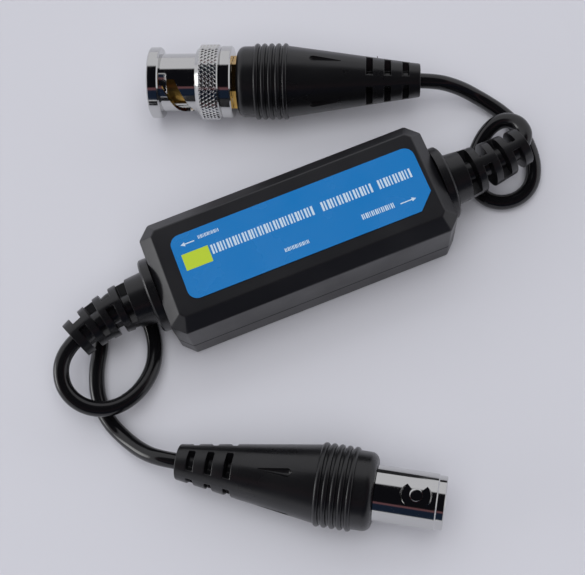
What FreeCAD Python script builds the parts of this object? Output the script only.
# In-line video balun: a moulded housing with a ground-isolating transformer inside,
# and two short leads, one with a bayonet plug and one with a bayonet jack.
# Frame: millimetres, +X along the housing towards the plug lead, +Z up,
# origin at the middle of the housing's underside.
import FreeCAD, Part
import math
import os
import re
import Sketcher
from FreeCAD import Placement, Rotation, Vector

# Driving sizes. Each row is a name, a value and what it measures.
SIZES = [
    ("housing_length", 55.0, "housing, end to end"),
    ("housing_width", 22.0, "housing, side to side"),
    ("housing_height", 16.0, "housing, underside to top face"),
    ("corner_cut", 2.3, "flat across each upright corner"),
    ("top_bevel", 2.35, "bevel round the top face"),
    ("foot_bevel", 0.6, "bevel round the underside"),
    ("side_wall", 1.8, "side and end walls"),
    ("roof_wall", 2.1, "top wall of the cover"),
    ("floor_wall", 1.8, "bottom wall of the base"),
    ("seam_height", 5.3, "height of the joint between the shells"),
    ("lip_width", 0.8, "tongue of the base inside the cover"),
    ("lip_height", 1.2, "height of that tongue"),
    ("lip_gap", 0.1, "clearance round the tongue"),
    ("port_height", 8.0, "axis of the two lead ports"),
    ("label_left", 22.4, "label edge, from the middle towards the jack end"),
    ("label_right", 24.3, "label edge, from the middle towards the plug end"),
    ("label_far", 6.1, "label edge, from the middle towards +Y"),
    ("label_near", 6.4, "label edge, from the middle towards -Y"),
    ("label_corner", 1.9, "rounding of three label corners"),
    ("label_clip", 3.0, "cut across the fourth label corner"),
    ("label_thickness", 0.15, "label film"),
    ("flange_radius", 7.0, "outer flange of each strain relief"),
    ("flange_thickness", 1.9, "outer flange of each strain relief"),
    ("neck_radius", 4.0, "neck of the relief in the end wall"),
    ("neck_gap", 0.05, "clearance round that neck"),
    ("keeper_radius", 5.4, "inner flange of the relief"),
    ("keeper_thickness", 1.3, "inner flange of the relief"),
    ("relief_root", 4.95, "radius of the relief at its flange"),
    ("relief_tip", 3.6, "radius of the relief at its tip"),
    ("relief_length", 15.9, "relief beyond its flange"),
    ("relief_first_slot", 4.2, "flange face to the middle of the first slots"),
    ("relief_slot_pitch", 3.05, "from one layer of slots to the next"),
    ("relief_slot_width", 1.6, "slot, along the relief"),
    ("relief_slot_floor", 2.3, "radius left under the slots"),
    ("relief_rib", 1.7, "rib between two slots"),
    ("relief_rim", 0.4, "chamfer on the outer flange"),
    ("cable_radius", 1.45, "jacket of the leads"),
    ("cable_gap", 0.05, "clearance round the jacket"),
    ("core_radius", 0.75, "inner insulation of the leads"),
    ("core_gap", 0.05, "clearance round the inner insulation"),
    ("braid_radius", 0.5, "twisted shield of a lead, inside the housing"),
    ("braid_peg_gap", 0.2, "twisted shield to the pegs of the board"),
    ("stripped_gap", 0.1, "lead jacket to its stripped ends"),
    ("board_end_gap", 6.7, "circuit board to each end wall"),
    ("board_side_gap", 1.7, "circuit board to each side wall"),
    ("board_thickness", 1.2, "circuit board"),
    ("board_height", 3.6, "underside of the board, on its posts"),
    ("post_radius", 1.6, "posts under the board"),
    ("post_end_inset", 3.5, "posts, in from the ends of the board"),
    ("post_side_inset", 2.2, "posts, in from the sides of the board"),
    ("peg_radius", 0.8, "pegs on the posts"),
    ("peg_gap", 0.1, "clearance round each peg"),
    ("peg_stand", 0.5, "peg above the board"),
    ("core_outer", 5.4, "ferrite ring, outer radius"),
    ("core_inner", 2.9, "ferrite ring, inner radius"),
    ("core_height", 4.0, "ferrite ring"),
    ("winding_build", 0.6, "thickness of each winding"),
    ("winding_gap", 0.05, "clearance of the windings on the ring"),
    ("winding_angle", 128.0, "degrees of ring that each winding covers"),
    ("suppressor_gap", 2.8, "surge suppressor to the ferrite ring"),
    ("suppressor_offset", 1.5, "surge suppressor, off the middle of the board"),
    ("suppressor_length", 4.4, "surge suppressor"),
    ("suppressor_width", 3.4, "surge suppressor"),
    ("suppressor_height", 2.2, "surge suppressor"),
    ("capacitor_gap", 2.6, "capacitor to the ferrite ring"),
    ("capacitor_offset", 2.0, "capacitor, off the middle of the board"),
    ("capacitor_radius", 2.0, "capacitor"),
    ("capacitor_height", 5.2, "capacitor"),
    ("chip_gap", 2.0, "chip resistors to the ferrite ring"),
    ("chip_offset", 2.2, "first chip resistor, off the middle of the board"),
    ("chip_length", 2.0, "chip resistor"),
    ("chip_width", 1.25, "chip resistor"),
    ("chip_height", 0.5, "chip resistor"),
    ("chip_pitch", 2.2, "from one chip resistor to the next"),
    ("boot_length", 35.1, "moulded boot of each connector"),
    ("boot_grip_radius", 6.8, "boot at its grip end"),
    ("boot_grip_length", 10.0, "parallel part of the boot"),
    ("boot_tip_radius", 3.15, "boot at its tip"),
    ("boot_front_cut", 1.0, "chamfer round the front of the boot"),
    ("ring_radius", 7.3, "grip rings, outer radius"),
    ("ring_half_width", 0.5, "half of a grip ring, along the boot"),
    ("ring_bevel", 0.28, "bevel on each side of a grip ring"),
    ("ring_sink", 0.3, "grip ring below the surface of the boot"),
    ("ring_first", 3.9, "boot front to the first grip ring"),
    ("ring_pitch", 1.36, "from one grip ring to the next"),
    ("ring_count", 5, "grip rings"),
    ("boot_slot_first", 2.8, "boot tip to the first layer of slots"),
    ("boot_slot_pitch", 3.45, "from one layer of slots to the next"),
    ("boot_slot_width", 1.2, "slot, along the boot"),
    ("boot_slot_floor", 2.1, "radius left under the slots"),
    ("boot_slot_sweep", 58.0, "degrees of boot that each slot takes"),
    ("boot_slot_layers", 3, "layers of slots"),
    ("dimple_start", 14.8, "boot front to the blunt end of a dimple"),
    ("dimple_length", 5.2, "teardrop dimple"),
    ("dimple_radius", 0.75, "teardrop dimple, blunt end"),
    ("dimple_tail", 0.15, "teardrop dimple, thin end"),
    ("dimple_nose", 0.5, "teardrop dimple, length of the blunt end's taper"),
    ("dimple_nose_radius", 0.3, "teardrop dimple, end of that taper"),
    ("jacket_seat", 3.0, "lead jacket inside the boot's tip"),
    ("ferrule_radius", 3.15, "crimp ferrule, outer radius"),
    ("ferrule_wall", 0.4, "crimp ferrule"),
    ("ferrule_length", 7.0, "crimp ferrule"),
    ("ferrule_gap", 0.05, "clearance of the ferrule"),
    ("ferrule_set", 0.2, "boot front to the crimp ferrule"),
    ("spigot_radius", 2.4, "crimp spigot of plug and jack"),
    ("spigot_bore", 1.35, "bore through the spigot"),
    ("spigot_length", 6.5, "crimp spigot behind the boot's front"),
    ("core_setback", 1.0, "boot front to the end of the lead's insulated core"),
    ("collar_flats", 8.9, "six-sided collar behind the nut, across its flats"),
    ("collar_length", 0.85, "six-sided collar"),
    ("collar_bore", 3.2, "collar on the plug body"),
    ("nut_gap", 0.05, "collar to coupling nut"),
    ("nut_length", 16.05, "coupling nut"),
    ("nut_rear_radius", 6.95, "plain band at the nut's rear"),
    ("nut_rear_length", 2.2, "plain band at the nut's rear"),
    ("nut_grip_radius", 7.2, "knurled band of the nut"),
    ("nut_grip_length", 4.6, "knurled band of the nut"),
    ("nut_step", 0.25, "small chamfers on the nut"),
    ("nut_shoulder", 0.8, "chamfer in front of the knurled band"),
    ("nut_neck_radius", 5.55, "neck of the nut"),
    ("nut_front_radius", 6.83, "plain band at the nut's front"),
    ("nut_front_length", 2.2, "plain band at the nut's front"),
    ("nut_bore", 4.9, "bore of the nut that takes the jack"),
    ("nut_lip_bore", 4.45, "rear lip of the nut, on the plug body"),
    ("nut_lip_length", 1.4, "rear lip of the nut"),
    ("nut_cavity_radius", 5.9, "space for the springs inside the nut"),
    ("nut_cavity_length", 4.15, "space for the springs inside the nut"),
    ("cam_width", 3.0, "spiral slot, along the nut"),
    ("cam_rise", 3.4, "travel of the spiral slot along the nut"),
    ("cam_sweep", 80.0, "degrees that the spiral slot turns"),
    ("cam_seat", 7.1, "nut front to the centre of the slot's round end"),
    ("cam_seat_radius", 1.3, "round end of the spiral slot"),
    ("channel_radius", 5.65, "entry channels for the jack's studs"),
    ("channel_sweep", 25.0, "degrees of bore that each channel takes"),
    ("journal_gap", 0.07, "plug body in the nut's lip"),
    ("flange_gap", 0.1, "plug body flange in the nut"),
    ("body_flange_length", 1.0, "flange of the plug body"),
    ("nut_travel", 0.8, "slide of the nut against its spring"),
    ("slip_washer_length", 0.4, "slip washer"),
    ("washer_gap", 0.05, "gaps between washers"),
    ("spring_gauge", 0.3, "sheet of the bowed spring washer"),
    ("spring_spare", 0.2, "space left when the spring is pressed flat"),
    ("spring_edge", 0.3, "spring washer, inside the nut's cavity"),
    ("gasket_length", 1.0, "gasket in front of the flange"),
    ("gasket_radius", 4.85, "gasket"),
    ("sleeve_radius", 4.05, "outer contact of the plug"),
    ("sleeve_wall", 0.5, "outer contact of the plug"),
    ("sleeve_setback", 3.5, "outer contact, behind the nut's front"),
    ("sleeve_slot", 0.5, "slits in the outer contact"),
    ("sleeve_slot_length", 5.5, "slits in the outer contact"),
    ("seat_gap", 0.02, "pressed pieces of the connectors"),
    ("plug_insulator_setback", 8.5, "plug insulator, behind the nut's front"),
    ("pin_radius", 0.685, "centre pin"),
    ("pin_root_radius", 0.95, "centre pin inside its insulator"),
    ("pin_taper", 0.55, "tapered tip of the centre pin"),
    ("pin_point_radius", 0.3, "end of that tip"),
    ("plug_insulator_tail", 1.2, "plug insulator, behind the body's flange"),
    ("pin_setback", 3.8, "pin tip, behind the nut's front"),
    ("pin_tail", 0.8, "centre contacts, behind the boot's front"),
    ("pin_cup_radius", 1.1, "rear of the pin, on the lead's core"),
    ("jack_length", 12.0, "barrel of the jack in front of its boot"),
    ("jack_radius", 4.8, "barrel of the jack"),
    ("jack_bore", 4.1, "mouth of the jack"),
    ("jack_depth", 8.8, "mouth of the jack"),
    ("jack_nose_length", 1.3, "narrower nose at the jack's front"),
    ("jack_nose_step", 0.2, "barrel to that nose, on the radius"),
    ("jack_nose_chamfer", 0.1, "outer edge of the jack's nose"),
    ("jack_chamfer", 0.3, "edge of the jack's mouth"),
    ("stud_radius", 1.15, "bayonet studs"),
    ("stud_reach", 5.5, "axis to the top of a stud"),
    ("stud_setback", 4.9, "stud centre, behind the jack's front"),
    ("stud_root", 4.3, "axis to the bottom of a stud"),
    ("spotface_radius", 2.85, "flat cut round each stud"),
    ("spotface_level", 4.4, "axis to that flat"),
    ("jack_insulator_radius", 3.3, "insulator in the jack's mouth"),
    ("jack_insulator_setback", 1.8, "insulator, behind the jack's front"),
    ("jack_insulator_flange", 1.7, "flange at the insulator's rear"),
    ("socket_radius", 1.15, "centre contact of the jack"),
    ("socket_bore", 0.72, "hole in the centre contact"),
    ("socket_depth", 4.5, "hole in the centre contact"),
    ("plug_heading", 157.4, "direction of the plug, degrees from +X"),
    ("jack_heading", -30.86, "direction of the jack, degrees from +X"),
    ("plug_pitch", 0.0, "degrees that the plug points up"),
    ("jack_pitch", 2.94, "degrees that the jack points up"),
    ("plug_boot_roll", 17.5, "boot turned about the plug's axis"),
    ("jack_boot_roll", -2.5, "boot turned about the jack's axis"),
    ("plug_nut_roll", -101.0, "nut turned about the plug's axis"),
    ("plug_collar_roll", -17.3, "collar turned about the plug's axis"),
    ("relief_bend_plug", 2.6, "degrees of bend at each slot layer, plug end"),
    ("relief_bend_jack", 5.5, "degrees of bend at each slot layer, jack end"),
    ("relief_roll_plug", 5.0, "relief turned about its axis, plug end"),
    ("relief_roll_jack", 12.0, "relief turned about its axis, jack end"),
]

# Slot layers of a strain relief, from its flange outwards.
RELIEF_LAYERS = 4

# Slots and dimples round a boot.
SIDES_OF_BOOT = 4

# Points of a route that bore its relief, and how far behind its first point the bore begins.
BORE_POINTS = 5
BORE_LEAD_IN = 2.7

# Overlap that joins neighbouring pieces of a relief, and the lift of their edges.
JOIN = 0.3
EASE = 0.98

# How close two lengths must be to count as the same.
TOUCH = 1e-6

# Stripped lead ends inside the housing: how far across each one starts, then where it
# comes down and where it ends, as shares of the way across to the pegs of the board.
CORE_END = (0.35, 0.316, 0.421)
BRAID_END = (-0.95, -0.842, -1.0)

# Their straight start, as a share of the way from the relief to the board, and where they
# come down and end, as shares of the way from the components to the end of the board.
STRIP_STRAIGHT = 0.3
STRIP_DROP = 0.78
STRIP_FOOT = 0.31
STRIP_LIFT = 0.6

# Share of the shorter run that a rounded corner of a route takes.
CORNER_SHARE = 0.45

# Where the tips of the two boots lie, and the two leads' routes, in millimetres.
# Both routes start inside the housing wall and end inside a boot. They are written for
# ends of the housing at this distance from its middle, and move with them.
ROUTE_DATUM = 27.5
PLUG_TIP = (33.23, 21.52)
JACK_TIP = (-34.86, -30.03)
PLUG_ROUTE = [
    (24.2, 0.0, 8.0),
    (35.1, 0.0, 8.0),
    (41.1, 0.6, 8.0),
    (45.0, 1.2, 8.0),
    (46.9, 3.3, 7.9),
    (46.7, 6.2, 7.4),
    (44.6, 8.2, 6.4),
    (41.8, 8.1, 5.0),
    (39.1, 6.4, 3.2),
    (36.7, 3.7, 1.8),
    (35.4, 0.3, 1.5),
    (35.8, -3.2, 1.5),
    (38.2, -5.6, 1.5),
    (41.8, -6.2, 1.5),
    (45.2, -4.8, 1.5),
    (47.4, -1.5, 1.5),
    (48.3, 2.7, 1.5),
    (48.1, 7.3, 1.5),
    (46.5, 11.7, 1.5),
    (43.7, 15.6, 2.2),
    (40.1, 18.4, 4.9),
    (35.63, 20.521, 7.3),
    (30.507, 22.654, 7.3),
]
JACK_ROUTE = [
    (-24.2, 0.0, 8.0),
    (-35.1, 0.0, 8.0),
    (-41.2, -1.15, 8.0),
    (-46.4, -3.25, 8.0),
    (-49.2, -6.3, 7.8),
    (-49.8, -10.7, 7.1),
    (-47.4, -14.7, 6.3),
    (-42.9, -16.6, 5.4),
    (-38.1, -15.3, 4.0),
    (-34.1, -11.8, 2.5),
    (-32.1, -7.3, 1.6),
    (-31.6, -2.8, 1.5),
    (-32.0, 1.5, 1.5),
    (-34.5, 4.8, 1.5),
    (-38.3, 4.7, 1.5),
    (-40.4, 1.3, 1.5),
    (-41.5, -2.9, 1.5),
    (-44.0, -7.3, 1.5),
    (-45.4, -12.4, 1.5),
    (-44.9, -17.4, 1.5),
    (-42.9, -21.8, 1.9),
    (-40.3, -25.8, 4.0),
    (-37.089, -28.698, 5.871),
    (-32.331, -31.541, 6.156),
]

doc = FreeCAD.newDocument("video_balun")
sheet = doc.addObject("Spreadsheet::Sheet", "sizes")
for row, (alias, value, words) in enumerate(SIZES, start=1):
    sheet.set("A%d" % row, alias)
    sheet.set("B%d" % row, str(value))
    sheet.set("C%d" % row, words)
    sheet.setAlias("B%d" % row, alias)
doc.recompute()

ALIASES = {alias for alias, value, words in SIZES}
HOUSING = Placement()
PARTS = []


def linked(expression):
    """Writes the sheet's name before every size that an expression names."""
    return re.sub("[a-z_]+", lambda word: ("sizes." if word[0] in ALIASES else "") + word[0], expression)


def size(expression):
    """Returns the value of a size, or of an expression made of sizes."""
    return float(sheet.evalExpression(linked(expression)))


def bind(piece, **expressions):
    """Ties properties of an object to sizes of the sheet."""
    for name, expression in expressions.items():
        piece.setExpression(name, linked(expression))
    return piece


def keep(piece, label, placement=HOUSING):
    """Names a finished sub-part, puts it in its place and lists it for export."""
    piece.Label = label
    piece.Placement = placement
    PARTS.append(piece)
    return piece


def new_body(name):
    """Starts a solid that is built up from sketches."""
    return doc.addObject("PartDesign::Body", name)


def origin_feature(body, role):
    """Returns one of a body's own planes or axes."""
    return next(item for item in body.Origin.OriginFeatures if item.Role == role)


def new_sketch(body, name, role, level="0"):
    """Adds an empty sketch on one of the body's planes, raised by a level."""
    sketch = body.newObject("Sketcher::SketchObject", name)
    sketch.AttachmentSupport = [(origin_feature(body, role), "")]
    sketch.MapMode = "FlatFace"
    sketch.setExpression("AttachmentOffset.Base.z", linked(level))
    return sketch


def tie_point(sketch, geometry, position, name, across, up):
    """Ties a point of a sketch to two expressions, across and up."""
    for kind, letter, expression in (("DistanceX", "x", across), ("DistanceY", "y", up)):
        constraint = Sketcher.Constraint(kind, -1, 1, geometry, position, size(expression))
        index = sketch.addConstraint(constraint)
        sketch.renameConstraint(index, letter + name)
        sketch.setExpression("Constraints." + letter + name, linked(expression))


def draw_polygon(sketch, points):
    """Draws a closed outline whose corners are pairs of expressions."""
    corners = [Vector(size(across), size(up), 0) for across, up in points]
    first = sketch.GeometryCount
    for number, corner in enumerate(corners):
        after = corners[(number + 1) % len(corners)]
        sketch.addGeometry(Part.LineSegment(corner, after), False)
    for number, (across, up) in enumerate(points):
        before = first + (number - 1) % len(points)
        sketch.addConstraint(Sketcher.Constraint("Coincident", before, 2, first + number, 1))
        tie_point(sketch, first + number, 1, "_%d" % (first + number), across, up)


def draw_circle(sketch, across, up, radius):
    """Draws a circle with its centre and radius tied to expressions."""
    centre = Vector(size(across), size(up), 0)
    index = sketch.addGeometry(Part.Circle(centre, Vector(0, 0, 1), size(radius)), False)
    tie_point(sketch, index, 3, "_%d" % index, across, up)
    constraint = sketch.addConstraint(Sketcher.Constraint("Radius", index, size(radius)))
    sketch.renameConstraint(constraint, "radius_%d" % index)
    sketch.setExpression("Constraints.radius_%d" % index, linked(radius))


def polygon_sketch(body, name, role, points, level="0"):
    """Adds a sketch that holds one closed outline."""
    sketch = new_sketch(body, name, role, level)
    draw_polygon(sketch, points)
    return sketch


def circle_sketch(body, name, role, across, up, radius, level="0"):
    """Adds a sketch that holds one circle."""
    sketch = new_sketch(body, name, role, level)
    draw_circle(sketch, across, up, radius)
    return sketch


def feature(body, kind, name, sketch, **settings):
    """Adds a feature that works on a sketch; text settings are expressions."""
    step = body.newObject("PartDesign::" + kind, name)
    step.Profile = sketch
    for key, value in settings.items():
        if isinstance(value, str) and key in ("Length", "Angle", "Height", "Pitch"):
            step.setExpression(key, linked(value))
        else:
            setattr(step, key, value)
    return step


def turned(body, name, sketch):
    """Revolves a section a full turn about the body's Z axis."""
    return feature(body, "Revolution", name, sketch, ReferenceAxis=(sketch, ["V_Axis"]), Angle="360")


def grooved(body, name, sketch, sweep):
    """Cuts a section out over an angle centred on the sketch's plane."""
    axis = (sketch, ["V_Axis"])
    return feature(body, "Groove", name, sketch, ReferenceAxis=axis, Midplane=True, Angle=sweep)


def repeated_round(body, name, originals, count):
    """Repeats features about the body's Z axis."""
    pattern = body.newObject("PartDesign::PolarPattern", name)
    pattern.Originals = originals
    pattern.Axis = (origin_feature(body, "Z_Axis"), [""])
    pattern.Angle = 360
    pattern.Occurrences = count
    body.Tip = pattern
    return pattern


def repeated_along(body, name, originals, length, count):
    """Repeats features against the direction of the body's Z axis."""
    pattern = body.newObject("PartDesign::LinearPattern", name)
    pattern.Originals = originals
    pattern.Direction = (origin_feature(body, "Z_Axis"), [""])
    pattern.Reversed = True
    pattern.Length = length
    pattern.Occurrences = count
    body.Tip = pattern
    return pattern


def edges_where(shape, test):
    """Names the edges of a shape that pass a test on their end points."""
    names = []
    for number, edge in enumerate(shape.Edges, start=1):
        if test([vertex.Point for vertex in edge.Vertexes]):
            names.append("Edge%d" % number)
    return names


def at_level(level):
    """Returns a test for edges that lie at one height."""
    return lambda ends: all(abs(end.z - level) < TOUCH for end in ends)


def softened(body, kind, name, base, test, amount):
    """Adds a fillet or chamfer on the edges that pass a test."""
    doc.recompute()
    step = body.newObject("PartDesign::" + kind, name)
    step.Base = (base, edges_where(base.Shape, test))
    step.setExpression("Radius" if kind == "Fillet" else "Size", linked(amount))
    return step


def cylinder(name, radius, start, length):
    """Makes a round bar along Z."""
    bar = bind(doc.addObject("Part::Cylinder", name), Radius=radius, Height=length)
    bar.setExpression("Placement.Base.z", linked(start))
    return bar


def difference(name, base, tool):
    """Cuts one object out of another."""
    result = doc.addObject("Part::Cut", name)
    result.Base = base
    result.Tool = tool
    return result


def ring(name, outer, inner, start, length):
    """Makes a plain ring along Z."""
    outside = cylinder(name + "_outside", outer, start, length)
    inside = cylinder(name + "_inside", inner, start, length)
    return difference(name, outside, inside)


def octagon(inset):
    """Returns the housing's outline, moved in by an inset all round."""
    end = "(housing_length / 2 - (%s))" % inset
    side = "(housing_width / 2 - (%s))" % inset
    cut = "(corner_cut - (2 - sqrt(2)) * (%s))" % inset
    return [
        (end, "%s - %s" % (side, cut)),
        ("%s - %s" % (end, cut), side),
        ("%s - %s" % (cut, end), side),
        ("-" + end, "%s - %s" % (side, cut)),
        ("-" + end, "%s - %s" % (cut, side)),
        ("%s - %s" % (cut, end), "-" + side),
        ("%s - %s" % (end, cut), "-" + side),
        (end, "%s - %s" % (cut, side)),
    ]


def cut_ports(body):
    """Cuts the two round ports for the necks of the strain reliefs."""
    sketch = circle_sketch(body, body.Name + "_port", "YZ_Plane", "0", "port_height",
                           "neck_radius + neck_gap")
    return feature(body, "Pocket", body.Name + "_ports", sketch, Type=1, Midplane=True)


BOARD_LENGTH = "(housing_length - 2 * side_wall - 2 * board_end_gap)"
BOARD_WIDTH = "(housing_width - 2 * side_wall - 2 * board_side_gap)"
BOARD_TOP = "board_height + board_thickness"
CORE_START = BOARD_TOP + " + winding_build + winding_gap"


def post_places():
    """Returns where the four posts under the board stand."""
    across = BOARD_LENGTH + " / 2 - post_end_inset"
    up = BOARD_WIDTH + " / 2 - post_side_inset"
    return [(side + "(%s)" % across, end + "(%s)" % up) for side in ("", "-") for end in ("", "-")]


def make_cover():
    """The upper shell: bevelled outside, hollow, with a step for the base's tongue."""
    body = new_body("cover_shell")
    outside = polygon_sketch(body, "cover_outline", "XY_Plane", octagon("0"), "seam_height")
    block = feature(body, "Pad", "cover_block", outside, Length="housing_height - seam_height")
    softened(body, "Chamfer", "cover_bevel", block, at_level(size("housing_height")), "top_bevel")
    inside = polygon_sketch(body, "cover_inside", "XY_Plane", octagon("side_wall"), "seam_height")
    feature(body, "Pocket", "cover_cavity", inside, Reversed=True,
            Length="housing_height - seam_height - roof_wall")
    step = polygon_sketch(body, "cover_step", "XY_Plane",
                          octagon("side_wall - lip_width - lip_gap"), "seam_height")
    feature(body, "Pocket", "cover_rebate", step, Reversed=True, Length="lip_height + lip_gap")
    cut_ports(body)
    keep(body, "cover_shell")


def make_base():
    """The lower shell: a tray with a tongue round its rim and posts for the board."""
    body = new_body("base_shell")
    outside = polygon_sketch(body, "base_outline", "XY_Plane", octagon("0"))
    block = feature(body, "Pad", "base_block", outside, Length="seam_height")
    softened(body, "Chamfer", "base_bevel", block, at_level(0.0), "foot_bevel")
    rim = new_sketch(body, "base_rim", "XY_Plane", "seam_height")
    draw_polygon(rim, octagon("side_wall - lip_width"))
    feature(body, "Pad", "base_tongue", rim, Length="lip_height")
    inside = polygon_sketch(body, "base_inside", "XY_Plane", octagon("side_wall"),
                            "seam_height + lip_height")
    feature(body, "Pocket", "base_cavity", inside, Length="seam_height + lip_height - floor_wall")
    posts = new_sketch(body, "base_posts", "XY_Plane", "floor_wall")
    pegs = new_sketch(body, "base_pegs", "XY_Plane", "board_height")
    for across, up in post_places():
        draw_circle(posts, across, up, "post_radius")
        draw_circle(pegs, across, up, "peg_radius")
    feature(body, "Pad", "board_posts", posts, Length="board_height - floor_wall")
    feature(body, "Pad", "board_pegs", pegs, Length="board_thickness + peg_stand")
    cut_ports(body)
    keep(body, "base_shell")


def make_label():
    """The printed film on the top face, rounded at three corners and cut at one."""
    body = new_body("label_film")
    outline = polygon_sketch(body, "label_outline", "XY_Plane", [
        ("-label_left", "-label_near"),
        ("label_right - label_clip", "-label_near"),
        ("label_right", "label_clip - label_near"),
        ("label_right", "label_far"),
        ("-label_left", "label_far"),
    ], "housing_height")
    film = feature(body, "Pad", "label_pad", outline, Length="label_thickness")
    left = -size("label_left")
    far = size("label_far")

    def rounded_corner(ends):
        upright = abs(ends[0].z - ends[-1].z) > TOUCH
        return upright and (abs(ends[0].x - left) < TOUCH or abs(ends[0].y - far) < TOUCH)

    softened(body, "Fillet", "label_corners", film, rounded_corner, "label_corner")
    keep(body, "label")


def make_board():
    """The circuit board, with a hole for each peg of the base."""
    body = new_body("board_plate")
    sketch = polygon_sketch(body, "board_outline", "XY_Plane", [
        (BOARD_LENGTH + " / 2", BOARD_WIDTH + " / 2"),
        ("-" + BOARD_LENGTH + " / 2", BOARD_WIDTH + " / 2"),
        ("-" + BOARD_LENGTH + " / 2", "-" + BOARD_WIDTH + " / 2"),
        (BOARD_LENGTH + " / 2", "-" + BOARD_WIDTH + " / 2"),
    ], "board_height")
    for across, up in post_places():
        draw_circle(sketch, across, up, "peg_radius + peg_gap")
    feature(body, "Pad", "board_pad", sketch, Length="board_thickness")
    keep(body, "circuit_board")


def make_transformer():
    """The ferrite ring and its two windings, flat on the board."""
    keep(ring("core_ring", "core_outer", "core_inner", CORE_START, "core_height"), "ferrite_core")
    windings = (("winding_a", "primary_winding", 0), ("winding_b", "secondary_winding", 180))
    for name, label, turn in windings:
        body = new_body(name)
        sketch = new_sketch(body, name + "_section", "XZ_Plane")
        for extra in ("winding_gap + winding_build", "winding_gap"):
            low = "core_inner - (%s)" % extra
            high = "core_outer + (%s)" % extra
            bottom = "%s - (%s)" % (CORE_START, extra)
            top = "%s + core_height + (%s)" % (CORE_START, extra)
            draw_polygon(sketch, [(low, bottom), (high, bottom), (high, top), (low, top)])
        feature(body, "Revolution", name + "_wrap", sketch, ReferenceAxis=(sketch, ["V_Axis"]),
                Midplane=True, Angle="winding_angle")
        keep(body, label, Placement(Vector(), Rotation(Vector(0, 0, 1), turn)))


def block(name, length, width, height, across, up, level):
    """Makes a plain block centred at a place on the board."""
    piece = bind(doc.addObject("Part::Box", name), Length=length, Width=width, Height=height)
    piece.setExpression("Placement.Base.x", linked("%s - (%s) / 2" % (across, length)))
    piece.setExpression("Placement.Base.y", linked("%s - (%s) / 2" % (up, width)))
    piece.setExpression("Placement.Base.z", linked(level))
    return piece


def make_components():
    """The surge suppressor, the capacitor and the chip resistors on the board."""
    suppressor = block("suppressor", "suppressor_length", "suppressor_width", "suppressor_height",
                       "-(core_outer + suppressor_gap + suppressor_length / 2)",
                       "-suppressor_offset", BOARD_TOP)
    PARTS.append(suppressor)
    suppressor.Label = "surge_suppressor"
    capacitor = cylinder("capacitor_can", "capacitor_radius", BOARD_TOP, "capacitor_height")
    capacitor.setExpression("Placement.Base.x", linked("core_outer + capacitor_gap + capacitor_radius"))
    capacitor.setExpression("Placement.Base.y", linked("-capacitor_offset"))
    capacitor.Label = "capacitor"
    PARTS.append(capacitor)
    chips = doc.addObject("Part::Compound", "chips")
    chips.Links = [
        block("chip_%d" % number, "chip_length", "chip_width", "chip_height",
              "core_outer + chip_gap + chip_length / 2", "chip_offset + %d * chip_pitch" % number,
              BOARD_TOP)
        for number in range(2)
    ]
    keep(chips, "chip_resistors")


def with_housing(route):
    """Moves a route with the end of the housing that it comes out of."""
    side = math.copysign(1, route[0][0])
    shift = side * (size("housing_length") / 2 - ROUTE_DATUM)
    return [(point[0] + shift, point[1], point[2]) for point in route]


def rounded_route(points):
    """Joins straight runs by tangent arcs; returns the wire and the arcs' radii."""
    places = [Vector(*point) for point in points]
    edges = []
    radii = []
    start = places[0]
    for before, corner, after in zip(places, places[1:], places[2:]):
        arriving = (corner - before).normalize()
        leaving = (after - corner).normalize()
        shorter = min((corner - before).Length, (after - corner).Length)
        half_turn = arriving.getAngle(leaving) / 2
        reach = CORNER_SHARE * shorter
        entry = corner - arriving * reach
        leave = corner + leaving * reach
        inward = (leaving - arriving).normalize()
        radius = reach / math.tan(half_turn)
        middle = corner + inward * (radius / math.cos(half_turn) - radius)
        edges.append(Part.LineSegment(start, entry).toShape())
        edges.append(Part.Arc(entry, middle, leave).toShape())
        radii.append(radius)
        start = leave
    edges.append(Part.LineSegment(start, places[-1]).toShape())
    return Part.Wire(edges), radii


def swept_tube(points, radius):
    """Sweeps a round section along a route."""
    wire, radii = rounded_route(points)
    start = wire.Edges[0].valueAt(wire.Edges[0].FirstParameter)
    direction = (Vector(*points[1]) - Vector(*points[0])).normalize()
    section = Part.Wire([Part.Circle(start, direction, radius).toShape()])
    return wire.makePipeShell([section], True, False), wire.Length, radii


def shaped(name, shape, label, placement=HOUSING):
    """Holds a shape made by geometry functions as an object of the document."""
    piece = doc.addObject("Part::Feature", name)
    piece.Shape = shape
    return keep(piece, label, placement)


def make_leads():
    """The two jacketed leads, each from its relief into the tip of its boot."""
    for label, route in (("plug_lead", PLUG_ROUTE), ("jack_lead", JACK_ROUTE)):
        tube, length, radii = swept_tube(with_housing(route), size("cable_radius"))
        section = math.pi * size("cable_radius") ** 2
        print("%s: length %.1f, volume ratio %.4f, smallest radius %.2f"
              % (label, length, tube.Volume / (section * length), min(radii)))
        print("  radii " + " ".join("%.1f" % radius for radius in radii))
        shaped(label + "_tube", tube, label)


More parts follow.
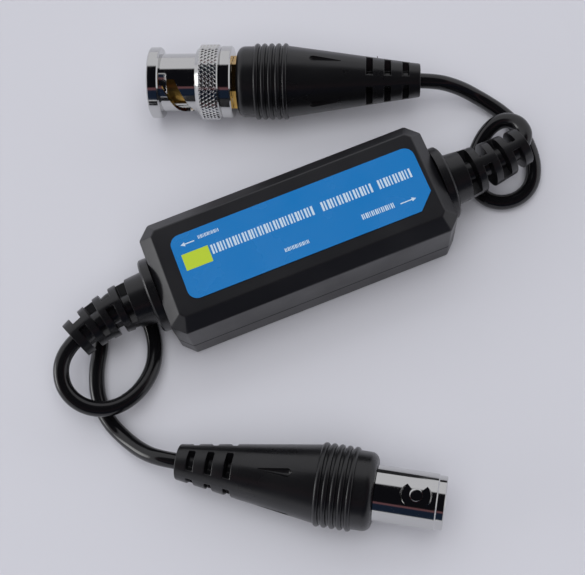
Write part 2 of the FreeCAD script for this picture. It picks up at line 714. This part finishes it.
def make_lead_ends():
    """The stripped ends of the leads inside the housing: inner conductor and shield."""
    start = with_housing(PLUG_ROUTE)[0][0] - size("stripped_gap")
    port = size("port_height")
    board_top = size(BOARD_TOP)
    reach = size(BOARD_LENGTH) / 2
    straight = start - STRIP_STRAIGHT * (start - reach)
    room = size(BOARD_WIDTH + " / 2 - post_side_inset - peg_radius - braid_radius - braid_peg_gap")
    parts_end = size("core_outer + suppressor_gap + suppressor_length")
    drop = parts_end + STRIP_DROP * (reach - parts_end)
    foot = parts_end + STRIP_FOOT * (reach - parts_end)
    for side, name in ((1, "plug"), (-1, "jack")):
        for kind, route in (("core", CORE_END), ("braid", BRAID_END)):
            radius = size(kind + "_radius")
            first, middle, last = route
            points = [
                (side * start, first, port),
                (side * straight, first, port),
                (side * drop, middle * room, board_top + radius + STRIP_LIFT),
                (side * foot, last * room, board_top + radius),
            ]
            tube, length, radii = swept_tube(points, radius)
            shaped("%s_%s_tube" % (name, kind), tube, "%s_lead_%s" % (name, kind))


def relief_shape(bend, roll):
    """One strain relief along +X: flanges, neck, and a slotted cone that bends."""
    face = size("housing_length") / 2
    thickness = size("flange_thickness")
    inner = face - size("side_wall") - size("keeper_thickness")
    port = Vector(0, 0, size("port_height"))
    along = Vector(1, 0, 0)
    shape = Part.makeCylinder(size("keeper_radius"), size("keeper_thickness"),
                              port + along * inner, along)
    neck = Part.makeCylinder(size("neck_radius"), size("side_wall") + 2 * JOIN,
                             port + along * (face - size("side_wall") - JOIN), along)
    flange = Part.makeCylinder(size("flange_radius"), thickness, port + along * face, along)
    rim = [edge for edge in flange.Edges if abs(edge.CenterOfMass.x - face - thickness) < TOUCH]
    flange = flange.makeChamfer(size("relief_rim"), rim)
    pieces = [shape, neck, flange]
    width = size("relief_slot_width")
    length = size("relief_length")
    slope = (size("relief_root") - size("relief_tip")) / length

    def cone(start, end, share=1.0):
        low = (size("relief_root") - slope * start) * share
        high = (size("relief_root") - slope * end) * share
        return Part.makeCone(low, high, end - start, port + along * (face + thickness + start), along)

    place = Placement()
    done = 0.0
    for layer in range(RELIEF_LAYERS):
        middle = size("relief_first_slot") + layer * size("relief_slot_pitch")
        pieces.append(moved(cone(done, middle - width / 2), place))
        hinge = port + along * (face + thickness + middle)
        half = Placement(Vector(), Rotation(Vector(0, 0, 1), bend / 2), hinge)
        place = place.multiply(half)
        web = cone(middle - width / 2 - JOIN, middle + width / 2 + JOIN, EASE)
        long = width + 4 * JOIN
        deep = 2 * size("relief_root")
        floor = Part.makeCylinder(size("relief_slot_floor"), long, hinge - along * long / 2, along)
        rib = Part.makeBox(long, size("relief_rib"), deep,
                           hinge - Vector(long, size("relief_rib"), deep) / 2)
        quarter = 90 if layer % 2 == 0 else 0
        rib.rotate(hinge, along, quarter + roll)
        pieces.append(moved(web.common(floor.fuse(rib)), place))
        place = place.multiply(half)
        done = middle + width / 2
    pieces.append(moved(cone(done, length), place))
    return pieces[0].multiFuse(pieces[1:]).removeSplitter()


def moved(shape, placement):
    """Returns a copy of a shape moved by a placement."""
    copy = shape.copy()
    copy.Placement = placement.multiply(copy.Placement)
    return copy


def make_reliefs():
    """Both strain reliefs, bored for their leads."""
    for label, route, bend, roll, side in (
        ("plug_end_relief", PLUG_ROUTE, size("relief_bend_plug"), size("relief_roll_plug"), 1),
        ("jack_end_relief", JACK_ROUTE, size("relief_bend_jack"), size("relief_roll_jack"), -1),
    ):
        shape = relief_shape(bend, roll)
        if side < 0:
            shape.rotate(Vector(), Vector(0, 0, 1), 180)
        points = with_housing(route)[:BORE_POINTS]
        points[0] = (points[0][0] - side * BORE_LEAD_IN, points[0][1], points[0][2])
        bore, length, radii = swept_tube(points, size("cable_radius") + size("cable_gap"))
        shaped(label + "_shape", shape.cut(bore), label)


# Levels along each connector, in its own frame: Z points the way it mates,
# X points up, and the boot's front face is at zero.
NUT_START = "(collar_length + nut_gap)"
NUT_FRONT = "(collar_length + nut_gap + nut_length)"
CAVITY_START = "(collar_length + nut_gap + nut_lip_length)"
CAVITY_END = "(collar_length + nut_gap + nut_lip_length + nut_cavity_length)"
SLIP_START = CAVITY_START[:-1] + " + washer_gap)"
SPRING_START = SLIP_START[:-1] + " + slip_washer_length + washer_gap)"
SPRING_HEIGHT = "(nut_travel + spring_gauge + spring_spare)"
FLANGE_START = SPRING_START[:-1] + " + nut_travel + spring_gauge + spring_spare + washer_gap)"
FLANGE_END = FLANGE_START[:-1] + " + body_flange_length)"
JOURNAL = "(nut_lip_bore - journal_gap)"
PLUG_INSULATOR_START = "(%s - plug_insulator_tail)" % FLANGE_START
SEAT_LEVEL = "(%s - cam_seat)" % NUT_FRONT
JACK_BED = "(jack_length - jack_depth - jack_insulator_flange)"


def connector_frame(tip, heading, pitch, roll):
    """Returns the placement of a connector that lies on its grip rings."""
    turn, lift = math.radians(heading), math.radians(pitch)
    along = Vector(math.cos(turn) * math.cos(lift), math.sin(turn) * math.cos(lift), math.sin(lift))
    side = along.cross(Vector(0, 0, 1)).normalize()
    axes = Rotation(side.cross(along), side, along, "ZXY")
    last_ring = size("ring_first + (ring_count - 1) * ring_pitch + ring_half_width")
    base = Vector(tip[0], tip[1], 0) + Vector(along.x, along.y, 0) * size("boot_length")
    base.z = size("ring_radius") + last_ring * along.z
    return Placement(base, axes.multiply(Rotation(Vector(0, 0, 1), roll)))


def tip_of(tip, side):
    """Moves the place of a boot's tip with its end of the housing."""
    return (tip[0] + side * (size("housing_length") / 2 - ROUTE_DATUM), tip[1])


PLUG = connector_frame(tip_of(PLUG_TIP, 1), size("plug_heading"), size("plug_pitch"), 0.0)
JACK = connector_frame(tip_of(JACK_TIP, -1), size("jack_heading"), size("jack_pitch"), 0.0)


def rolled(angle):
    """Returns a turn about a connector's axis."""
    return Placement(Vector(), Rotation(Vector(0, 0, 1), angle))


def make_boot(name, label, placement):
    """A moulded boot: a tapered sleeve with grip rings, slots and teardrop dimples."""
    body = new_body(name)
    outline = polygon_sketch(body, name + "_section", "XZ_Plane", [
        ("cable_radius + cable_gap", "-boot_length"),
        ("boot_tip_radius", "-boot_length"),
        ("boot_grip_radius", "-boot_grip_length"),
        ("boot_grip_radius", "0"),
        ("ferrule_radius + ferrule_gap", "0"),
        ("ferrule_radius + ferrule_gap", "-ferrule_set - ferrule_length - ferrule_gap"),
        ("core_radius + core_gap", "-ferrule_set - ferrule_length - ferrule_gap"),
        ("core_radius + core_gap", "jacket_seat - boot_length"),
        ("cable_radius + cable_gap", "jacket_seat - boot_length"),
    ])
    sleeve = turned(body, name + "_sleeve", outline)
    grip = size("boot_grip_radius")

    def front_edge(ends):
        return all(abs(end.z) < TOUCH and abs(end.x - grip) < TOUCH for end in ends)

    softened(body, "Chamfer", name + "_front", sleeve, front_edge, "boot_front_cut")
    back = "-ring_first - ring_half_width"
    front = "ring_half_width - ring_first"
    bead = polygon_sketch(body, name + "_bead", "XZ_Plane", [
        ("boot_grip_radius - ring_sink", back),
        ("boot_grip_radius", back),
        ("ring_radius", back + " + ring_bevel"),
        ("ring_radius", front + " - ring_bevel"),
        ("boot_grip_radius", front),
        ("boot_grip_radius - ring_sink", front),
    ])
    first_ring = turned(body, name + "_ring", bead)
    rings = int(size("ring_count"))
    repeated_along(body, name + "_rings", [first_ring], (rings - 1) * size("ring_pitch"), rings)
    slots = new_sketch(body, name + "_slot_sections", "XZ_Plane")
    for layer in range(int(size("boot_slot_layers"))):
        middle = "boot_slot_first + %d * boot_slot_pitch - boot_length" % layer
        low = middle + " - boot_slot_width / 2"
        high = middle + " + boot_slot_width / 2"
        draw_polygon(slots, [("boot_slot_floor", low), ("ring_radius", low),
                             ("ring_radius", high), ("boot_slot_floor", high)])
    slot = grooved(body, name + "_slots", slots, "boot_slot_sweep")
    repeated_round(body, name + "_slots_round", [slot], SIDES_OF_BOOT)
    teardrop = make_teardrop(body, name)
    repeated_round(body, name + "_dimples", teardrop, SIDES_OF_BOOT)
    keep(body, label, placement)


def make_teardrop(body, name):
    """Sinks one teardrop dimple into the boot's taper."""
    taper = (size("boot_grip_radius") - size("boot_tip_radius")) / (
        size("boot_length") - size("boot_grip_length"))
    start = size("dimple_start")
    surface = size("boot_grip_radius") - taper * (start - size("boot_grip_length"))
    blunt = Vector(surface, 0, -start)
    back = Vector(-taper, 0, -1).normalize()
    cone = body.newObject("PartDesign::SubtractiveCone", name + "_dimple")
    bind(cone, Radius1="dimple_radius", Radius2="dimple_tail", Height="dimple_length")
    cone.Placement = Placement(blunt, Rotation(Vector(0, 0, 1), back))
    end = body.newObject("PartDesign::SubtractiveCone", name + "_dimple_end")
    bind(end, Radius1="dimple_radius", Radius2="dimple_nose_radius", Height="dimple_nose")
    end.Placement = Placement(blunt, Rotation(Vector(0, 0, 1), -back))
    return [cone, end]


def make_cable_end(name, prefix, placement):
    """The lead's insulated core inside a boot, and the crimp ferrule round its shield."""
    core = cylinder(name + "_core_bar", "core_radius", "jacket_seat - boot_length",
                    "boot_length - jacket_seat - core_setback")
    holder = doc.addObject("Part::Compound", name + "_core")
    holder.Links = [core]
    keep(holder, prefix + "_coax_core", placement)
    ferrule = ring(name + "_crimp", "ferrule_radius", "ferrule_radius - ferrule_wall",
                   "-ferrule_set - ferrule_length", "ferrule_length")
    keep(ferrule, prefix + "_ferrule", placement)


def make_plug_body():
    """The plug's metal body: crimp spigot, journal for the nut and front flange."""
    body = new_body("plug_metal")
    outline = polygon_sketch(body, "plug_metal_section", "XZ_Plane", [
        ("spigot_bore", "-spigot_length"),
        ("spigot_radius", "-spigot_length"),
        ("spigot_radius", "0"),
        ("collar_bore - seat_gap", "0"),
        ("collar_bore - seat_gap", "collar_length"),
        (JOURNAL, "collar_length"),
        (JOURNAL, FLANGE_START),
        ("nut_cavity_radius - flange_gap", FLANGE_START),
        ("nut_cavity_radius - flange_gap", FLANGE_END),
        ("sleeve_radius + seat_gap", FLANGE_END),
        ("sleeve_radius + seat_gap", FLANGE_START),
        ("sleeve_radius - sleeve_wall", FLANGE_START),
        ("sleeve_radius - sleeve_wall", PLUG_INSULATOR_START),
        ("spigot_bore", PLUG_INSULATOR_START),
    ])
    turned(body, "plug_metal_turned", outline)
    keep(body, "plug_body", PLUG)


def make_collar():
    """The six-sided collar between the boot and the nut."""
    body = new_body("collar_hexagon")
    corner = "(collar_flats / sqrt(3))"
    sketch = new_sketch(body, "collar_outline", "XY_Plane")
    draw_polygon(sketch, [
        ("%s * cos(%d deg)" % (corner, angle), "%s * sin(%d deg)" % (corner, angle))
        for angle in range(30, 390, 60)
    ])
    draw_circle(sketch, "0", "0", "collar_bore")
    feature(body, "Pad", "collar_pad", sketch, Length="collar_length")
    keep(body, "plug_collar", PLUG.multiply(rolled(size("plug_collar_roll"))))


def make_washers():
    """The slip washer, the bowed spring washer and the gasket inside the nut."""
    slip = ring("slip_ring", "nut_cavity_radius - 2 * flange_gap", JOURNAL + " + journal_gap",
                SLIP_START, "slip_washer_length")
    keep(slip, "slip_washer", PLUG)
    outer = "(nut_cavity_radius - spring_edge)"
    bow = "(nut_travel + spring_spare)"
    inside = "((%s ^ 2 + %s ^ 2) / (2 * %s))" % (outer, bow, bow)
    flat_ring = ring("spring_ring", outer, JOURNAL + " + flange_gap", SPRING_START, SPRING_HEIGHT)
    over = cylinder("spring_over", inside + " + spring_gauge", "0", "4 * nut_cavity_radius")
    under = cylinder("spring_under", inside, "0", "4 * nut_cavity_radius")
    for bar in (over, under):
        bar.Placement.Rotation = Rotation(Vector(1, 0, 0), 90)
        bar.setExpression("Placement.Base.y", linked("2 * nut_cavity_radius"))
        bar.setExpression("Placement.Base.z", linked("%s + %s - %s" % (SPRING_START, bow, inside)))
    bowed = doc.addObject("Part::Common", "spring_bowed")
    bowed.Base = flat_ring
    bowed.Tool = difference("spring_sheet", over, under)
    keep(bowed, "spring_washer", PLUG)
    gasket = ring("gasket_ring", "gasket_radius", "sleeve_radius + seat_gap", FLANGE_END,
                  "gasket_length")
    keep(gasket, "gasket", PLUG)


def make_outer_contact():
    """The plug's slit sleeve that springs inside the jack's mouth."""
    body = new_body("sleeve")
    sketch = circle_sketch(body, "sleeve_outline", "XY_Plane", "0", "0", "sleeve_radius", FLANGE_START)
    draw_circle(sketch, "0", "0", "sleeve_radius - sleeve_wall")
    length = "%s - sleeve_setback - %s" % (NUT_FRONT, FLANGE_START)
    feature(body, "Pad", "sleeve_pad", sketch, Length=length)
    cross = new_sketch(body, "sleeve_cross", "XY_Plane", "%s - sleeve_setback" % NUT_FRONT)
    near = "sleeve_slot / 2"
    far = "sleeve_radius + sleeve_wall"
    draw_polygon(cross, [
        (far, near), (near, near), (near, far), ("-" + near, far), ("-" + near, near),
        ("-(%s)" % far, near), ("-(%s)" % far, "-" + near), ("-" + near, "-" + near),
        ("-" + near, "-(%s)" % far), (near, "-(%s)" % far), (near, "-" + near), (far, "-" + near),
    ])
    feature(body, "Pocket", "sleeve_slits", cross, Length="sleeve_slot_length")
    keep(body, "outer_contact", PLUG)


def make_plug_inside():
    """The plug's insulator and its centre pin."""
    body = new_body("plug_insulation")
    front = "%s - plug_insulator_setback" % NUT_FRONT
    inner = "pin_root_radius + seat_gap"
    outer = "sleeve_radius - sleeve_wall - seat_gap"
    section = polygon_sketch(body, "plug_insulation_section", "XZ_Plane", [
        (inner, PLUG_INSULATOR_START), (outer, PLUG_INSULATOR_START), (outer, front), (inner, front),
    ])
    turned(body, "plug_insulation_turned", section)
    keep(body, "plug_insulator", PLUG)
    pin = new_body("pin")
    tip = "%s - pin_setback" % NUT_FRONT
    section = polygon_sketch(pin, "pin_section", "XZ_Plane", [
        ("0", "-pin_tail"),
        ("pin_cup_radius", "-pin_tail"),
        ("pin_cup_radius", PLUG_INSULATOR_START),
        ("pin_root_radius", PLUG_INSULATOR_START),
        ("pin_root_radius", front),
        ("pin_radius", front),
        ("pin_radius", tip + " - pin_taper"),
        ("pin_point_radius", tip),
        ("0", tip),
    ])
    turned(pin, "pin_turned", section)
    keep(pin, "centre_pin", PLUG)


def make_nut():
    """The bayonet coupling nut: bands, neck, two spiral slots and their entry channels."""
    body = new_body("nut")
    grip_start = "(%s + nut_rear_length)" % NUT_START
    grip_end = "(%s + nut_rear_length + nut_grip_length)" % NUT_START
    band = "(%s - nut_front_length)" % NUT_FRONT
    section = polygon_sketch(body, "nut_section", "XZ_Plane", [
        ("nut_lip_bore", NUT_START),
        ("nut_rear_radius - nut_step", NUT_START),
        ("nut_rear_radius", NUT_START + " + nut_step"),
        ("nut_rear_radius", grip_start + " - nut_step"),
        ("nut_rear_radius - nut_step", grip_start),
        ("nut_grip_radius", grip_start + " + nut_step + nut_grip_radius - nut_rear_radius"),
        ("nut_grip_radius", grip_end + " - nut_shoulder"),
        ("nut_grip_radius - nut_shoulder", grip_end),
        ("nut_neck_radius", grip_end),
        ("nut_neck_radius", band),
        ("nut_front_radius - nut_step", band),
        ("nut_front_radius", band + " + nut_step"),
        ("nut_front_radius", NUT_FRONT + " - nut_step"),
        ("nut_front_radius - nut_step", NUT_FRONT),
        ("nut_bore", NUT_FRONT),
        ("nut_bore", CAVITY_END),
        ("nut_cavity_radius", CAVITY_END),
        ("nut_cavity_radius", CAVITY_START),
        ("nut_lip_bore", CAVITY_START),
    ])
    turned(body, "nut_turned", section)
    low = SEAT_LEVEL + " - cam_width / 2"
    high = SEAT_LEVEL + " + cam_width / 2"
    inner = "nut_bore - nut_step"
    outer = "nut_front_radius"
    cam = polygon_sketch(body, "cam_section", "XZ_Plane", [
        (inner, low), (outer, low), (outer, high), (inner, high),
    ])
    spiral = feature(body, "SubtractiveHelix", "cam_slot", cam, ReferenceAxis=(cam, ["V_Axis"]),
                     Mode=0, Pitch="cam_rise * 360 / cam_sweep", Height="cam_rise")
    seat = circle_sketch(body, "seat_circle", "YZ_Plane", "0", SEAT_LEVEL, "cam_seat_radius")
    hole = feature(body, "Pocket", "cam_seat_hole", seat, Reversed=True, Length="nut_front_radius")
    channel = new_sketch(body, "channel_section", "XZ_Plane")
    turn = Rotation(Vector(0, 1, 0), size("cam_sweep"))
    channel.AttachmentOffset = Placement(Vector(), turn)
    entry = SEAT_LEVEL + " + cam_rise"
    draw_polygon(channel, [
        (inner, entry), ("channel_radius", entry),
        ("channel_radius", NUT_FRONT + " + nut_step"), (inner, NUT_FRONT + " + nut_step"),
    ])
    groove = grooved(body, "entry_channel", channel, "channel_sweep")
    repeated_round(body, "nut_cams", [spiral, hole, groove], 2)
    keep(body, "coupling_nut", PLUG.multiply(rolled(size("plug_nut_roll"))))


def make_jack_barrel():
    """The jack's barrel with its crimp spigot, and the flats and holes for its studs."""
    body = new_body("jack_metal")
    nose = "jack_radius - jack_nose_step"
    section = polygon_sketch(body, "jack_metal_section", "XZ_Plane", [
        ("spigot_bore", "-spigot_length"),
        ("spigot_radius", "-spigot_length"),
        ("spigot_radius", "0"),
        ("jack_radius", "0"),
        ("jack_radius", "jack_length - jack_nose_length - jack_nose_step"),
        (nose, "jack_length - jack_nose_length"),
        (nose, "jack_length - jack_nose_chamfer"),
        (nose + " - jack_nose_chamfer", "jack_length"),
        ("jack_bore + jack_chamfer", "jack_length"),
        ("jack_bore", "jack_length - jack_chamfer"),
        ("jack_bore", JACK_BED),
        ("spigot_bore", JACK_BED),
    ])
    turned(body, "jack_metal_turned", section)
    cuts = []
    for name, radius, level in (("spotface", "spotface_radius", "spotface_level"),
                                ("stud_hole", "stud_radius + seat_gap", "stud_root")):
        sketch = circle_sketch(body, name + "_circle", "YZ_Plane", "0", "jack_length - stud_setback",
                               radius, level)
        cuts.append(feature(body, "Pocket", name, sketch, Reversed=True, Length="jack_radius"))
    repeated_round(body, "jack_sides", cuts, 2)
    keep(body, "jack_barrel", JACK)


def make_studs():
    """The two bayonet studs set into the barrel."""
    bars = []
    for name, turn in (("stud_up", 90), ("stud_down", -90)):
        bar = bind(doc.addObject("Part::Cylinder", name), Radius="stud_radius",
                   Height="stud_reach - stud_root")
        side = 1 if turn > 0 else -1
        bar.Placement.Rotation = Rotation(Vector(0, 1, 0), turn)
        bar.setExpression("Placement.Base.x", linked("%d * stud_root" % side))
        bar.setExpression("Placement.Base.z", linked("jack_length - stud_setback"))
        bars.append(bar)
    pair = doc.addObject("Part::Compound", "studs")
    pair.Links = bars
    keep(pair, "jack_studs", JACK)


def make_jack_inside():
    """The jack's insulator and its socket contact."""
    body = new_body("jack_insulation")
    front = "jack_length - jack_insulator_setback"
    inner = "socket_radius + seat_gap"
    section = polygon_sketch(body, "jack_insulation_section", "XZ_Plane", [
        (inner, JACK_BED),
        ("jack_bore - seat_gap", JACK_BED),
        ("jack_bore - seat_gap", "jack_length - jack_depth"),
        ("jack_insulator_radius", "jack_length - jack_depth"),
        ("jack_insulator_radius", front),
        (inner, front),
    ])
    turned(body, "jack_insulation_turned", section)
    keep(body, "jack_insulator", JACK)
    socket = new_body("socket")
    section = polygon_sketch(socket, "socket_section", "XZ_Plane", [
        ("0", "-pin_tail"),
        ("socket_radius", "-pin_tail"),
        ("socket_radius", front),
        ("socket_bore", front),
        ("socket_bore", front + " - socket_depth"),
        ("0", front + " - socket_depth"),
    ])
    turned(socket, "socket_turned", section)
    keep(socket, "socket_contact", JACK)


def main():
    """Builds every sub-part, checks it and writes its file."""
    make_cover()
    make_base()
    make_label()
    make_board()
    make_transformer()
    make_components()
    make_leads()
    make_lead_ends()
    make_reliefs()
    plug_boot = PLUG.multiply(rolled(size("plug_boot_roll")))
    jack_boot = JACK.multiply(rolled(size("jack_boot_roll")))
    make_boot("boot_of_plug", "plug_boot", plug_boot)
    make_boot("boot_of_jack", "jack_boot", jack_boot)
    make_cable_end("plug_end", "plug", PLUG)
    make_cable_end("jack_end", "jack", JACK)
    make_plug_body()
    make_collar()
    make_washers()
    make_outer_contact()
    make_plug_inside()
    make_nut()
    make_jack_barrel()
    make_studs()
    make_jack_inside()
    doc.recompute()
    check_document()
    export_parts()


def check_document():
    """Stops if an object of the document failed or holds no sound shape."""
    faults = []
    for item in doc.Objects:
        if "Invalid" in item.State or "Error" in item.State:
            faults.append(item.Name + " " + " ".join(item.State))
    for piece in PARTS:
        shape = piece.Shape
        if shape.isNull() or not shape.isValid() or not shape.Solids:
            faults.append(piece.Label + " has no sound solid")
    if faults:
        raise RuntimeError("; ".join(faults))


def export_parts():
    """Writes one file for each sub-part."""
    os.makedirs("parts", exist_ok=True)
    for piece in PARTS:
        piece.Shape.exportStep("parts/%s.step" % piece.Label)
        box = piece.Shape.BoundBox
        print("%-18s %d solid %9.2f mm3  x %.2f %.2f  y %.2f %.2f  z %.2f %.2f"
              % (piece.Label, len(piece.Shape.Solids), piece.Shape.Volume,
                 box.XMin, box.XMax, box.YMin, box.YMax, box.ZMin, box.ZMax))


main()
